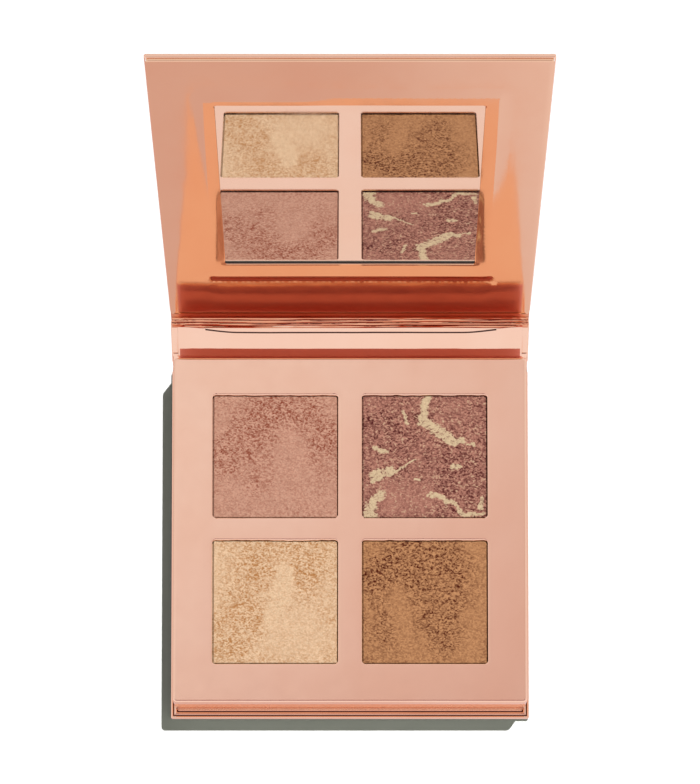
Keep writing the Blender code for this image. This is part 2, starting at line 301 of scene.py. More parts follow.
def distance_outside(points, box, radius=0.0):
    """Distance from a rounded rectangle, negative inside it."""
    x0, x1, y0, y1 = box
    away_x = np.abs(points[:, 0] - (x0 + x1) / 2) - ((x1 - x0) / 2 - radius)
    away_y = np.abs(points[:, 1] - (y0 + y1) / 2) - ((y1 - y0) / 2 - radius)
    outer = np.hypot(np.maximum(away_x, 0), np.maximum(away_y, 0))
    return outer + np.minimum(np.maximum(away_x, away_y), 0) - radius


def face_triangles(loops, guides, box, holes, radius, hole_radius, spacing):
    """Triangles over a rounded rectangle with holes. The first points are those of the loops, in order."""
    x0, x1, y0, y1 = box
    xs = np.linspace(x0, x1, max(2, round((x1 - x0) / spacing)))
    ys = np.linspace(y0, y1, max(2, round((y1 - y0) / spacing)))
    filler = np.array([(x, y) for y in ys for x in xs])
    clear = distance_outside(filler, box, radius) < -0.6 * spacing
    for hole in holes:
        clear &= distance_outside(filler, hole, hole_radius) > 0.6 * spacing
    lines = [*loops, *guides]
    points = np.concatenate([*lines, filler[clear]])
    edges = []
    start = 0
    for line in lines:
        edges += [(start + i, start + (i + 1) % len(line)) for i in range(len(line))]
        start += len(line)
    made, _, triangles, sources, _, _ = delaunay_2d_cdt([Vector(p) for p in points], edges, [], 0, 1e-6)
    order = [source[0] for source in sources]
    made = np.array([tuple(p) for p in made])
    renumber = np.argsort(order)
    back = np.empty(len(order), int)
    back[renumber] = np.arange(len(order))
    kept = []
    for triangle in triangles:
        centre = made[list(triangle)].mean(0)[None]
        inside = distance_outside(centre, box, radius)[0] < 0
        in_hole = any(distance_outside(centre, hole, hole_radius)[0] < 0 for hole in holes)
        if inside and not in_hole:
            kept.append(tuple(int(back[i]) for i in triangle))
    return made[renumber], kept


def arc_rim(radius, z, steps=4, outward=True):
    """(grow, z) steps of a rounded rim that leaves a face at height z: outwards, or into a hole."""
    sign = 1 if outward else -1
    angles = [math.radians(90 * i / steps) for i in range(steps + 1)]
    return [(sign * radius * (math.sin(a) - 1), z - radius * (1 - math.cos(a))) for a in angles]


def panel(name, body, box, radius, rim, holes=(), hole_radius=1.0, hole_rim=(), guides=(), relief=None,
          closed=False, back_relief=None, spacing=2.0, wobble=None):
    """A sheet over a rounded rectangle, turned down at its rims.

    rim and hole_rim are (grow, z) steps from the face to the sheet's end. relief gives the face's height as a
    function of its points. closed adds a back face at the end of the rim. wobble moves a hole's rim.
    """
    loops = [outline(box, radius, rim[0][0])]
    loops += [outline(hole, hole_radius, hole_rim[0][0], WINDOW_STEP) for hole in holes]
    flat, triangles = face_triangles(loops, guides, box, holes, radius, hole_radius, spacing)
    height = np.full(len(flat), float(rim[0][1]))
    if relief is not None:
        height = height + relief(flat)
    points = [np.column_stack([flat, height])]
    faces = list(triangles)
    total = len(flat)
    start = 0
    rims = [(box, radius, rim, EDGE_STEP)]
    rims += [(hole, hole_radius, hole_rim, WINDOW_STEP) for hole in holes]
    for (ring_box, ring_radius, steps, step), loop in zip(rims, loops):
        ring = list(range(start, start + len(loop)))
        lift = height[ring] - steps[0][1]
        for number, (grow, z) in enumerate(steps[1:], 1):
            flat_ring = outline(ring_box, ring_radius, grow, step)
            fade = 1 - number / (len(steps) - 1)
            placed = np.column_stack([flat_ring, np.full(len(flat_ring), z) + lift * fade])
            if wobble is not None and ring_box is not box:
                placed = wobble(placed, ring_box, number / (len(steps) - 1))
            points.append(placed)
            following = list(range(total, total + len(placed)))
            faces += quads(ring, following)
            ring = following
            total += len(placed)
        start += len(loop)
        if closed and ring_box is box:
            back_ring = ring
    if closed:
        faces += close_back(points, flat, triangles, len(loops[0]), back_ring, rim[-1][1], back_relief, total)
    return add_mesh(name, body, np.concatenate(points), faces)


def close_back(points, flat, triangles, rim_count, back_ring, z, relief, total):
    """Adds the back face's points, and returns its faces: the front's again, turned over."""
    inner = flat[rim_count:]
    height = np.full(len(inner), float(z))
    if relief is not None:
        height = height - relief(inner)
    points.append(np.column_stack([inner, height]))
    number = [*back_ring, *range(total, total + len(inner))]
    return [tuple(number[i] for i in reversed(triangle)) for triangle in triangles]


def strip(name, profile, half, crumple, material, rows, accents=()):
    """A sheet swept along X over a smooth profile of (y, z) points in the row frame.

    crumple gives the sheet's shift along its normal, from x, from the share s of the way along the profile,
    and from the length along it. accents are (material, function) pairs: the function is true where its
    material goes.
    """
    curve, steps = along_curve(profile, rows)
    slope = np.gradient(curve, axis=0)
    normal = np.column_stack([-slope[:, 1], slope[:, 0]])
    normal /= np.linalg.norm(normal, axis=1)[:, None]
    x, s = np.meshgrid(np.linspace(-half, half, STRIP_COLUMNS), steps / steps[-1])
    length = s * steps[-1]
    shift = crumple(x, s, length)
    y = curve[:, 0][:, None] + normal[:, 0][:, None] * shift
    z = curve[:, 1][:, None] + normal[:, 1][:, None] * shift
    obj = add_mesh(name, "base", grid_points(x, y, z), grid_faces(*x.shape), sharp=FOLD_SHARP)
    obj.data.materials.append(material)
    for accent, where in accents:
        recolour(obj, accent, where(x, s, length)[:-1, :-1].ravel())
    return obj


def along_curve(knots, count):
    """Evenly spaced points of a smooth curve through (y, z) knots, and their lengths along it."""
    knots = np.array(knots)
    lengths = np.concatenate([[0], np.cumsum(np.hypot(*np.diff(knots, axis=0).T))])
    steps = np.linspace(0, lengths[-1], count)
    return np.column_stack([smooth_curve(lengths, knots[:, i], steps) for i in (0, 1)]), steps


def smooth_curve(knots, values, where):
    """Cubic pieces through the values at the knots, with slopes taken from their neighbours."""
    slopes = np.gradient(values, knots)
    place = np.clip(np.searchsorted(knots, where, side="right") - 1, 0, len(knots) - 2)
    width = knots[place + 1] - knots[place]
    t = (where - knots[place]) / width
    start, end = values[place], values[place + 1]
    first, last = slopes[place] * width, slopes[place + 1] * width
    return (
        (2 * t**3 - 3 * t**2 + 1) * start
        + (t**3 - 2 * t**2 + t) * first
        + (-2 * t**3 + 3 * t**2) * end
        + (t**3 - t**2) * last
    )


# ------------------------ materials


def new_material(name):
    material = bpy.data.materials.new(name)
    material.use_nodes = True
    tree = material.node_tree
    return material, tree, tree.nodes["Principled BSDF"]


def fill(tree, socket, value):
    """Gives an input a value, or links it to a socket."""
    if isinstance(value, bpy.types.NodeSocket):
        tree.links.new(value, socket)
    else:
        socket.default_value = value


def fill_all(tree, made, **inputs):
    for key, value in inputs.items():
        fill(tree, made.inputs[key.replace("_", " ")], value)
    return made


def node(tree, kind, **inputs):
    return fill_all(tree, tree.nodes.new(f"ShaderNode{kind}"), **inputs)


def noise_node(tree, position, scale, detail=3.0, roughness=0.5):
    made = node(tree, "TexNoise", Vector=position, Scale=scale, Detail=detail, Roughness=roughness)
    return made.outputs[0]


def ramp(tree, value, low, high, start=0.0, end=1.0):
    """value from low to high, as start to end."""
    made = node(tree, "MapRange", Value=value, From_Min=low, From_Max=high, To_Min=start, To_Max=end)
    return made.outputs[0]


def mix(tree, share, first, second, blend="MIX"):
    """Blends two colours, each a tuple or a socket."""
    made = node(tree, "Mix")
    made.data_type = "RGBA"
    made.blend_type = blend
    for number, value in ((0, share), (6, first), (7, second)):
        fill(tree, made.inputs[number], (*value, 1.0) if isinstance(value, tuple) else value)
    return made.outputs[2]


def place_on_piece(tree):
    """The place on the piece, in metres; it moves with the piece."""
    return node(tree, "TexCoord").outputs["Object"]


def stretched_place(tree, stretch=(1, 1, 1)):
    """The place on the piece, where stretch makes features shorter along an axis."""
    return node(tree, "Mapping", Vector=place_on_piece(tree), Scale=stretch).outputs[0]


def bump(tree, height, distance, strength, **under):
    """Small relief, distance mm deep. Normal can be another bump's, to add to."""
    made = node(tree, "Bump", Height=height, Distance=distance * MM, Strength=strength, **under)
    return made.outputs[0]


FOIL_TINT = (0.955, 0.615, 0.425)
FOIL_TINT_DEEP = (0.945, 0.590, 0.400)


def foil_material(name, roughness, ripple, tint=FOIL_TINT, deep=FOIL_TINT_DEEP, reflected=None):
    """Rose-gold foil paper: metal with a faint change of tint, cloudy gloss, paper grain and fine ripples.

    The camera sees tint and deep. Reflections of the foil show the reflected tint, where one is given.
    """
    material, tree, shader = new_material(name)
    position = stretched_place(tree)
    cloud = noise_node(tree, position, 60.0)
    colour = mix(tree, ramp(tree, cloud, 0.35, 0.65), tint, deep)
    if reflected:
        seen = node(tree, "LightPath").outputs["Is Camera Ray"]
        colour = mix(tree, seen, reflected, colour)
    gloss = noise_node(tree, position, 240.0, detail=4.0)
    gloss = ramp(tree, gloss, 0.3, 0.7, roughness * 0.85, roughness * 1.15)
    grain = noise_node(tree, position, 2600.0, detail=2.0)
    wave = noise_node(tree, stretched_place(tree, (1.6, 1.0, 1.0)), 110.0, detail=1.0)
    relief = bump(tree, wave, 0.03, ripple, Normal=bump(tree, grain, 0.0012, ripple))
    fill_all(tree, shader, Metallic=1.0, Base_Color=colour, Roughness=gloss, Normal=relief,
             Specular_Tint=(1.0, 0.93, 0.87, 1.0))
    return material


def fibre_material(name, light, dark, roughness, scale):
    """Board, card or paper: specks and short fibres."""
    material, tree, shader = new_material(name)
    fibres = noise_node(tree, stretched_place(tree, (1.0, 3.0, 1.0)), scale, detail=6.0, roughness=0.7)
    colour = mix(tree, ramp(tree, fibres, 0.35, 0.65), dark, light)
    fill_all(tree, shader, Base_Color=colour, Roughness=roughness, Normal=bump(tree, fibres, 0.06, 0.6))
    return material


def foam_material():
    material, tree, shader = new_material("foam")
    cells = node(tree, "TexVoronoi", Vector=stretched_place(tree), Scale=1500.0).outputs["Distance"]
    colour = mix(tree, ramp(tree, cells, 0.0, 0.5), (0.02, 0.02, 0.02), (0.13, 0.13, 0.13))
    fill_all(tree, shader, Base_Color=colour, Roughness=0.95, Normal=bump(tree, cells, 0.3, 0.8))
    return material


def adhesive_material():
    material, tree, shader = new_material("adhesive")
    blotch = noise_node(tree, stretched_place(tree), 300.0, detail=4.0)
    colour = mix(tree, blotch, (0.78, 0.74, 0.62), (0.9, 0.88, 0.82))
    gloss = ramp(tree, blotch, 0.3, 0.7, 0.35, 0.6)
    fill_all(tree, shader, Base_Color=colour, Roughness=gloss, Normal=bump(tree, blotch, 0.04, 0.5))
    return material


def metal_material(name, colour, roughness, stretch):
    """Plain metal with drawn lines along one direction."""
    material, tree, shader = new_material(name)
    lines = noise_node(tree, stretched_place(tree, stretch), 900.0, detail=4.0)
    shade = mix(tree, lines, tuple(0.85 * c for c in colour), colour)
    gloss = ramp(tree, lines, 0.3, 0.7, roughness * 0.8, roughness * 1.2)
    relief = bump(tree, lines, 0.01, 0.5)
    fill_all(tree, shader, Metallic=1.0, Base_Color=shade, Roughness=gloss, Normal=relief)
    return material


def mirror_material(lower_edge, dark):
    """Silvered glass, with a line of painted shade from lower_edge mm up the lid: dark, non-metal glass over
    most of dark mm.
    """
    material, tree, shader = new_material("mirror_glass")
    position = place_on_piece(tree)
    along = LID.to_3x3() @ Vector((0, 1, 0))
    dot = node(tree, "VectorMath")
    dot.operation = "DOT_PRODUCT"
    fill(tree, dot.inputs[0], position)
    fill(tree, dot.inputs[1], along)
    start = along.dot(LID.translation) + lower_edge * MM
    unshaded = ramp(tree, dot.outputs["Value"], start + 0.6 * dark * MM, start + dark * MM)
    smudge = noise_node(tree, position, 35.0, detail=5.0, roughness=0.6)
    glass = mix(tree, ramp(tree, smudge, 0.3, 0.7), (0.90, 0.885, 0.87), (0.93, 0.915, 0.90))
    colour = mix(tree, unshaded, (0.05, 0.06, 0.065), glass)
    gloss = ramp(tree, smudge, 0.45, 0.8, 0.012, 0.05)
    fill_all(tree, shader, Base_Color=colour, Metallic=unshaded, Roughness=gloss)
    return material


def mesh_values(tree, name):
    """Values that a mesh carries at its points."""
    made = node(tree, "Attribute")
    made.attribute_name = name
    return made.outputs["Fac"]


def powder_material(name, plain, dark, second):
    """Pressed powder. The mesh carries how dark each grain's hollow is painted, partly speckle and partly
    painted shade, and where the second colour runs.
    """
    material, tree, shader = new_material(name)
    position = stretched_place(tree)
    dust = noise_node(tree, position, 2400.0, detail=3.0, roughness=0.7)
    cloud = noise_node(tree, position, 160.0, detail=3.0)
    body = mix(tree, ramp(tree, cloud, 0.3, 0.7, 0.0, 0.35), plain, tuple(0.88 * c for c in plain))
    # Painted shade, with some speckle, in the grains' hollows.
    body = mix(tree, mesh_values(tree, "grain"), body, dark)
    body = mix(tree, ramp(tree, mesh_values(tree, "vein"), 0.0, 1.0, 0.0, 0.80), body, second)
    speck = mix(tree, ramp(tree, dust, 0.35, 0.7), (0.86, 0.86, 0.86), (1.12, 1.12, 1.12))
    colour = mix(tree, 1.0, body, speck, "MULTIPLY")
    relief = bump(tree, dust, 0.05, 0.7)
    fill_all(tree, shader, Base_Color=colour, Roughness=0.75, Specular_IOR_Level=0.15, Normal=relief)
    return material


PLATE_FOIL = foil_material("foil_plate", 0.16, 0.5)
LINER_FOIL = foil_material("foil_liner", 0.05, 0.6)
LID_FOIL = foil_material("foil_lid", 0.075, 0.6, (0.885, 0.555, 0.345), (0.875, 0.530, 0.325))
COVER_FOIL = foil_material("foil_cover", 0.10, 0.7)
OUTER_FOLD_FOIL = foil_material("foil_outer_fold", 0.12, 0.8)
# Pinched in the folds. Its darker, redder tint there is painted shade.
INNER_FOLD_SHADE_FOIL = foil_material("foil_inner_fold_painted_shade", 0.12, 1.0, (0.86, 0.41, 0.23), (0.79, 0.34, 0.18))
CREASE_PAINTED_SHADE = foil_material("foil_crease_painted_shade", 0.25, 1.0, (0.17, 0.038, 0.018), (0.11, 0.024, 0.010),
                            FOIL_TINT)
# Darker tint for the middle of the spine's fold: painted shade of the corner behind the tray.
FOLD_PAINTED_SHADE_FOIL = foil_material("foil_fold_painted_shade", 0.16, 1.0, (0.90, 0.50, 0.36), (0.86, 0.46, 0.32))
# Painted shade: the camera sees creases nearly black, while reflections see plain foil. The rear wall's tint
# is darker in reflections than directly, as painted shade in those reflections.
REAR_WALL_REFLECTED_SHADE_FOIL = foil_material("foil_rear_wall_reflected_shade", 0.42, 1.0, reflected=(0.80, 0.35, 0.32))
# Cut paper edge coloured nearly black: painted shade of the gaps where it is used.
CUT_EDGE_GAP_SHADE = fibre_material("paper_cut_edge_gap_shade", (0.10, 0.035, 0.025), (0.03, 0.012, 0.01), 0.9, 2000.0)


# ------------------------ tray

WINDOW = 35.5
WINDOW_CORNER = 1.0
TRAY_CORNER = 1.2
TRAY_ROUND = 0.7
WINDOW_ROUND = 0.22
WALL_FOIL = 0.42  # how far the foil reaches down a window's wall
WALL_DEPTH = 1.12  # depth of the wall, bare board below the foil
WINDOW_SAG, SAG_REACH = 0.015, 0.7  # the foil sinks a little towards a window
REAR_PULL = 0.34  # how far the foil stands off a window's rear wall
QUARTERS = ("rear_left", "rear_right", "front_left", "front_right")


def window_box(quarter):
    low, high = extent(f"pan_{quarter}")
    x, y = (low[:2] + high[:2]) / 2
    half = WINDOW / 2
    return x - half, x + half, y - half, y + half


def build_tray_foil():
    low, high = extent("tray_wrap")
    holes = [window_box(quarter) for quarter in QUARTERS]
    box = (low[0], high[0], low[1], high[1])

    def relief(points):
        x, y = points[:, 0], points[:, 1]
        height = SWELL * fractal(x / 14, y / 14, 11)
        for hole in holes:
            away = np.maximum(distance_outside(points, hole, WINDOW_CORNER), 0)
            height -= WINDOW_SAG * np.exp(-away / SAG_REACH)
        return height

    def wobble(points, hole, share):
        """The paper turned into a window puckers, most of all along its rear side."""
        rear = smoothstep(0.8, 0.0, hole[3] - points[:, 1])
        x, y = points[:, 0], points[:, 1]
        pucker = fractal(x / 2.2, y / 2.2, 31)
        points[:, 1] += share * (0.03 + 0.10 * rear) * pucker - REAR_PULL * share * rear
        points[:, 2] += share * 0.05 * fractal(x / 1.6, y / 1.6, 47) * (1 - share)
        return points

    rim = arc_rim(TRAY_ROUND, high[2], 6)
    rim += [(0.0, high[2] - 3), (-0.05, (low[2] + high[2]) / 2), (0.0, low[2] + 0.8), (-0.15, low[2] + 0.05)]
    hole_rim = arc_rim(WINDOW_ROUND, high[2], outward=False)
    hole_rim += [(0.0, high[2] - WALL_FOIL), (0.0, high[2] - WALL_DEPTH)]
    guides = [outline(hole, WINDOW_CORNER, grow, step=0.9) for hole in holes for grow in (0.25, 0.6, 1.2)]
    guides += [outline(box, TRAY_CORNER, grow) for grow in (-0.85, -1.1, -1.6)]
    obj = panel("tray_foil", "base", box, TRAY_CORNER, rim, holes, WINDOW_CORNER, hole_rim, guides, relief,
                wobble=wobble)
    finish_piece(obj, "base", PLATE_FOIL, "rose_foil", "tray_wrap")
    centres = face_centres(obj)
    # The bare wall below the foil in each window is coloured nearly black: painted shade in the gap beside the
    # powder.
    shaded_bare_wall = (centres[:, 2] > high[2] - WALL_DEPTH) & (centres[:, 2] < high[2] - WALL_FOIL)
    shaded_bare_wall &= np.min([distance_outside(centres, hole, WINDOW_CORNER) for hole in holes], axis=0) < 0.5
    recolour(obj, CUT_EDGE_GAP_SHADE, shaded_bare_wall)
    # The tray's rear wall near its foot is tinted darker for reflections only: painted shade in what the lid
    # reflects.
    recolour(obj, REAR_WALL_REFLECTED_SHADE_FOIL, (centres[:, 1] > high[1] - 0.3) & (centres[:, 2] < high[2] - 0.8))
    thicken(obj, FOIL)


# ------------------------ covers

COVER_ROUND = 0.35
COVER_CORNER = 0.45
# Each groove where a turn-in shows through: distance in from the edge, depth, width.
BOTTOM_GROOVES = [(0.78, 0.16, 0.25), (1.90, 0.12, 0.27)]
GROOVE_GUIDES = (-1.6, -0.8, 0, 0.8, 1.6)  # lines of points across a groove, in widths


def cover_shell(name, body, box, z_low, z_high, grooves, nodes, seed):
    """The foil over one cover board."""

    def relief(points):
        inside = -distance_outside(points, box, COVER_CORNER)
        lift = SWELL * fractal(points[:, 0] / 16, points[:, 1] / 16, seed)
        for distance, depth, width in grooves:
            lift = lift - depth * np.exp(-(((inside - distance) / width) ** 2))
        return lift

    def back_relief(points):
        return 0.015 * fractal(points[:, 0] / 18, points[:, 1] / 18, seed + 5)

    rim = arc_rim(COVER_ROUND, z_high)
    rim += [(grow, z_low + z_high - z) for grow, z in reversed(arc_rim(COVER_ROUND, z_high))]
    guides = [outline(box, COVER_CORNER, grow) for grow in (-0.45, -0.65)]
    for distance, _, width in grooves:
        guides += [outline(box, COVER_CORNER, -distance + shift * width) for shift in GROOVE_GUIDES]
    obj = panel(name, body, box, COVER_CORNER, rim, guides=guides, relief=relief, closed=True,
                back_relief=back_relief, spacing=2.5)
    finish_piece(obj, body, COVER_FOIL, "rose_foil", *nodes)
    if grooves:
        centres = face_centres(obj)
        inside = -distance_outside(centres, box, COVER_CORNER)
        # Faces along the grooves get painted shade: foil coloured nearly black for the camera.
        groove_shade = [np.abs(inside - distance) < 0.9 * width for distance, _, width in grooves]
        recolour(obj, CREASE_PAINTED_SHADE, np.any(groove_shade, axis=0) & (centres[:, 2] > z_high - 0.3))
    thicken(obj, FOIL)


def build_covers():
    half = extent("bottom_wrap")[1][0]
    for cover, body, grooves, seed in (
        ("bottom", "base", BOTTOM_GROOVES, 61),
        ("spine", "spine", [], 62),
        ("lid", "lid", [], 63),
    ):
        low, high = extent(f"{cover}_board", body)
        wrap_low, wrap_high = extent(f"{cover}_wrap", body)
        # Towards a fold a cover's foil ends with its board. The fold has foil of its own.
        start = wrap_low[1] if cover == "bottom" else low[1]
        end = wrap_high[1] if cover == "lid" else high[1]
        box = (-half, half, start, end)
        name = f"{cover}_cover_foil"
        cover_shell(name, body, box, wrap_low[2], wrap_high[2], grooves, [f"{cover}_wrap"], seed)


# ------------------------ lid panel

LAP_SIDE, LAP_LOW, LAP_HIGH = 3.6, 5.4, 2.9  # how far the foil covers the mirror's edges
PAD_RISE = 0.095  # the foil stands proud over the mirror
PAD_SLOPE_LEFT, PAD_SLOPE_RIGHT, PAD_SLOPE_ABOVE = 2.8, 4.2, 3.0
PAD_CORNER = 1.2
PAD_GUIDES = (-0.4, 0.0, 0.15, 0.3, 0.5, 0.75, 1.1, 1.7, 2.5, 3.5)
WINDOW_GUIDES = (0.4, 0.8, 1.2, 1.6)
STEP_DROP = 0.18  # the step below the mirror
RIPPLE_RISE, RIPPLE_PLACE, RIPPLE_WIDTH = 0.013, 2.9, 0.5  # a soft crease at the foot of that step
MIRROR_CORNER = 0.5
MIRROR_EDGE_SHADE = 1.1  # width of the painted shade along the mirror's lower edge
PANEL_CORNER = 0.9


def build_lid_panel():
    low, high = extent("lid_panel_wrap", "lid")
    glass_low, glass_high = extent("mirror", "lid")
    box = (low[0], high[0], low[1], high[1])
    x0, x1, y0, y1 = glass_low[0], glass_high[0], glass_low[1], glass_high[1]
    window = (x0 + LAP_SIDE, x1 - LAP_SIDE, y0 + LAP_LOW, y1 - LAP_HIGH)
    pad = (x0 + 0.5, x1, y0, y1)

    def relief(points):
        x, y = points[:, 0], points[:, 1]
        side = np.maximum(np.maximum(x - pad[1], pad[0] - x), 0)
        below = np.maximum(pad[2] - y, 0)
        left = smoothstep(-4, -14, x)
        above = np.maximum(y - pad[3] + 1.2 * left, 0) / (PAD_SLOPE_ABOVE + 2.6 * left)
        beside = side / np.where(x < 0, PAD_SLOPE_LEFT, PAD_SLOPE_RIGHT)
        away = np.clip(np.hypot(beside, above), 0, 1)
        rise = PAD_RISE + 0.05 * smoothstep(10, 38, x) + 0.07 * left * smoothstep(pad[3] - 12, pad[3], y)
        # Below the mirror the foil steps down to the card, and comes back up towards the fold.
        ripple = RIPPLE_RISE * np.exp(-(((below - RIPPLE_PLACE) / RIPPLE_WIDTH) ** 2))
        ripple = ripple * (1 + fractal(x / 9, 0 * x, 73, 2))
        drop = STEP_DROP * smoothstep(0.3, 2.3, below) - ripple
        drop = drop * smoothstep(14.0, 2.5, below) * smoothstep(1.8, 0.5, side)
        swell = 0.022 * fractal(x / 15, y / 22, 71, 2)
        edge = -distance_outside(points, box, PANEL_CORNER)
        # Beside the window's lower half the foil lies down on the mirror.
        dip = smoothstep(1.4, 0, np.abs(x) - window[1]) * smoothstep(window[2] - 0.6, window[2] + 0.4, y)
        dip = dip * smoothstep(window[2] + 32, window[2] + 12, y)
        under = smoothstep(1.0, 0.0, below)
        return rise * under * (1 - dip) * (1 - away) ** 2 - drop + swell * smoothstep(0, 3, edge)

    guides = [outline(pad, PAD_CORNER, grow, step=1.0) for grow in PAD_GUIDES]
    guides += [outline(window, MIRROR_CORNER, grow, step=1.0) for grow in WINDOW_GUIDES]
    rim = arc_rim(COVER_ROUND, high[2]) + [(0.0, low[2] + 0.1), (-0.1, low[2])]
    hole_rim = arc_rim(0.06, high[2] - 0.06, 3, outward=False) + [(0.0, glass_high[2] + 0.02)]
    obj = panel("lid_panel_foil", "lid", box, PANEL_CORNER, rim, [window], MIRROR_CORNER, hole_rim, guides,
                relief, spacing=1.6)
    finish_piece(obj, "lid", LID_FOIL, "rose_foil", "lid_panel_wrap")
    centres = face_centres(obj, "lid")
    # The window's wall under the mirror's lower edge is coloured nearly black: painted shade of that gap.
    lower_wall_shade = distance_outside(centres, window, MIRROR_CORNER) < 0.07
    recolour(obj, CUT_EDGE_GAP_SHADE, lower_wall_shade & (centres[:, 1] < window[2] + 1))
    thicken(obj, FOIL)
    return window


# ------------------------ folds


PINCHED = 9  # length of a fold's pinched end
BEAD_START, BEAD_END, BEAD_LATER = (0.31, 0.44), (0.78, 0.62), 0.12  # shares of the way over the lid's fold
LAYER_SPACING = 0.95
LAYER_RISE, RIDGE_RISE, PINCH_RISE = 0.09, 0.10, 0.26
INNER_END, OUTER_END = 0.35, 0.15  # how far the foil inside and outside a fold ends before the covers' sides
CLOSED_END = 0.3
END_ROWS, END_COLUMNS = 12, 36


def end_crumple(x, half):
    """Grows towards both ends of a fold, where the foil is pinched."""
    return smoothstep(half - PINCHED, half, np.abs(x))


def row_points(*places):
    """(body, y, z) places as (y, z) in the row frame."""
    return [row_point(*place) for place in places]


def rippled(half, seed, long, across, pinch, pinch_long):
    """Faint ripples along a fold, and stronger ones where its ends are pinched."""

    def shift(x, s, length):
        ripples = 0.04 * fractal(x / long, length * across, seed, 2)
        pinches = pinch * end_crumple(x, half) * fractal(x / pinch_long, length, seed + 4)
        return np.sin(np.pi * s) * (ripples + pinches)

    return shift


def outer_fold(name, profile, half, bodies):
    """The foil over the outside of a fold."""
    shift = rippled(half, 101, 8, 1.0, 0.05, 1.2)
    obj = strip(name, profile, half - OUTER_END, shift, OUTER_FOLD_FOIL, 30)
    finish_fold(obj, bodies, profile[1], profile[-2])


def build_folds():
    half = extent("bottom_wrap")[1][0]
    build_liner()
    lid_back = build_lid_fold(half)
    build_spine_fold(half)
    outer_fold("lid_fold_outer_foil", lid_back, half, ("spine", "lid"))


def build_lid_fold(half):
    """Loose layers of foil lie over the upper fold, in lines along it, and bunch up at its ends.

    Returns the profile of the fold's outside.
    """

    def layers(x, length):
        drift = 1.3 * fractal(x / 40, 0 * x, 81, 3) + 0.30 * fractal(x / 5, length, 83, 2)
        return np.sin(2 * np.pi * length / LAYER_SPACING + 1.6 * drift)

    def along_bead(x, s):
        later = BEAD_LATER * end_crumple(x, half)
        return smoothstep(BEAD_START[0] + later, BEAD_START[1] + later, s) * smoothstep(*BEAD_END, s)

    def bunched(x, s, length):
        ridges = RIDGE_RISE * fractal(x / 20, length * 1.9, 84, 2)
        pinch = PINCH_RISE * fractal(x / 1.7, length * 1.3, 87, 3)
        return along_bead(x, s) * (LAYER_RISE * layers(x, length) + ridges + end_crumple(x, half) * pinch)

    def shade_between_layers(x, s, length):
        broken = fractal(x / 6, length * 2, 89, 3)
        return (layers(x, length) < -0.66 + 0.34 * broken) & (along_bead(x, s) > 0.5)

    def below_bead(x, s, length):
        return s < 0.37

    def shade_in_top_crease(x, s, length):
        return np.abs(s - 0.815 - 0.008 * fractal(x / 9, 0 * x, 93, 3)) < 0.012

    far = SPINE_LENGTH
    bodies = ("spine", "lid")
    profile = row_points(
        ("spine", far - 7.2, 0.92),
        ("spine", far - 5.2, 0.94),
        ("spine", far - 4.1, 1.06),
        ("spine", far - 3.44, 1.34),
        ("spine", far - 2.82, 1.48),
        ("spine", far - 2.19, 1.56),
        ("spine", far - 1.59, 1.62),
        ("lid", 0.0, 2.06),
        ("lid", 0.8, 2.06),
        ("lid", 1.5, 2.00),
        ("lid", 2.1, 1.88),
    )
    # The dark lines between the layers and along the top crease are painted shade.
    accents = [(LINER_FOIL, below_bead), (CREASE_PAINTED_SHADE, shade_between_layers), (CREASE_PAINTED_SHADE, shade_in_top_crease)]
    obj = strip("lid_fold_foil", profile, half - INNER_END, bunched, INNER_FOLD_SHADE_FOIL, 110, accents)
    finish_fold(obj, bodies, profile[3], profile[-1])
    board_end = extent("spine_board", "spine")[1][1]
    back = row_points(
        ("spine", board_end - 0.5, 0.10),
        ("spine", board_end + 0.1, 0.03),
        ("spine", board_end + 1.3, -0.03),
        ("lid", 0.5, -0.03),
        ("lid", 1.5, 0.03),
        ("lid", 2.1, 0.10),
    )
    front = [row_point("spine", board_end - 0.5, 1.1), *profile[3:]]
    close_ends("lid_fold_end_foil", front, back, half - CLOSED_END, bodies)
    return back


def build_spine_fold(half):
    """The foil runs down from the liner's ridge into the corner between spine and bottom cover."""
    low = extent("spine_liner", "spine")[0][1]
    bodies = ("base", "spine")
    y, z = row_point("spine", low + 2.1, 1.55)
    down = [(0, 0), (-0.7, -0.82), (-1.5, -1.52), (-2.35, -1.92), (-3.15, -2.07), (-3.5, -2.09)]
    profile = [row_point("spine", low + 2.75, 1.45), *((y + dy, z + dz) for dy, dz in down)]
    shift = rippled(half, 91, 14, 0.8, 0.08, 1.8)
    obj = strip("spine_fold_foil", profile, half - INNER_END, shift, LINER_FOIL, 40)
    # The middle of the fold is tinted darker: painted shade in the corner behind the tray.
    recolour(obj, FOLD_PAINTED_SHADE_FOIL, np.abs(face_centres(obj)[:, 0]) < half - 2.3)
    finish_fold(obj, bodies, profile[-2], profile[1])
    board_end = extent("bottom_board")[1][1]
    front = [(board_end - 0.6, 1.4), *reversed(profile[1:-1])]
    back = [
        (board_end - 0.5, 0.14),
        (board_end + 0.1, 0.10),
        (board_end + 1.0, 0.06),
        *row_points(("spine", 0.6, -0.02), ("spine", 1.5, 0.02), ("spine", 2.2, 0.10)),
    ]
    outer_fold("spine_fold_outer_foil", back, half, bodies)
    close_ends("spine_fold_end_foil", front, back, half - CLOSED_END, bodies)


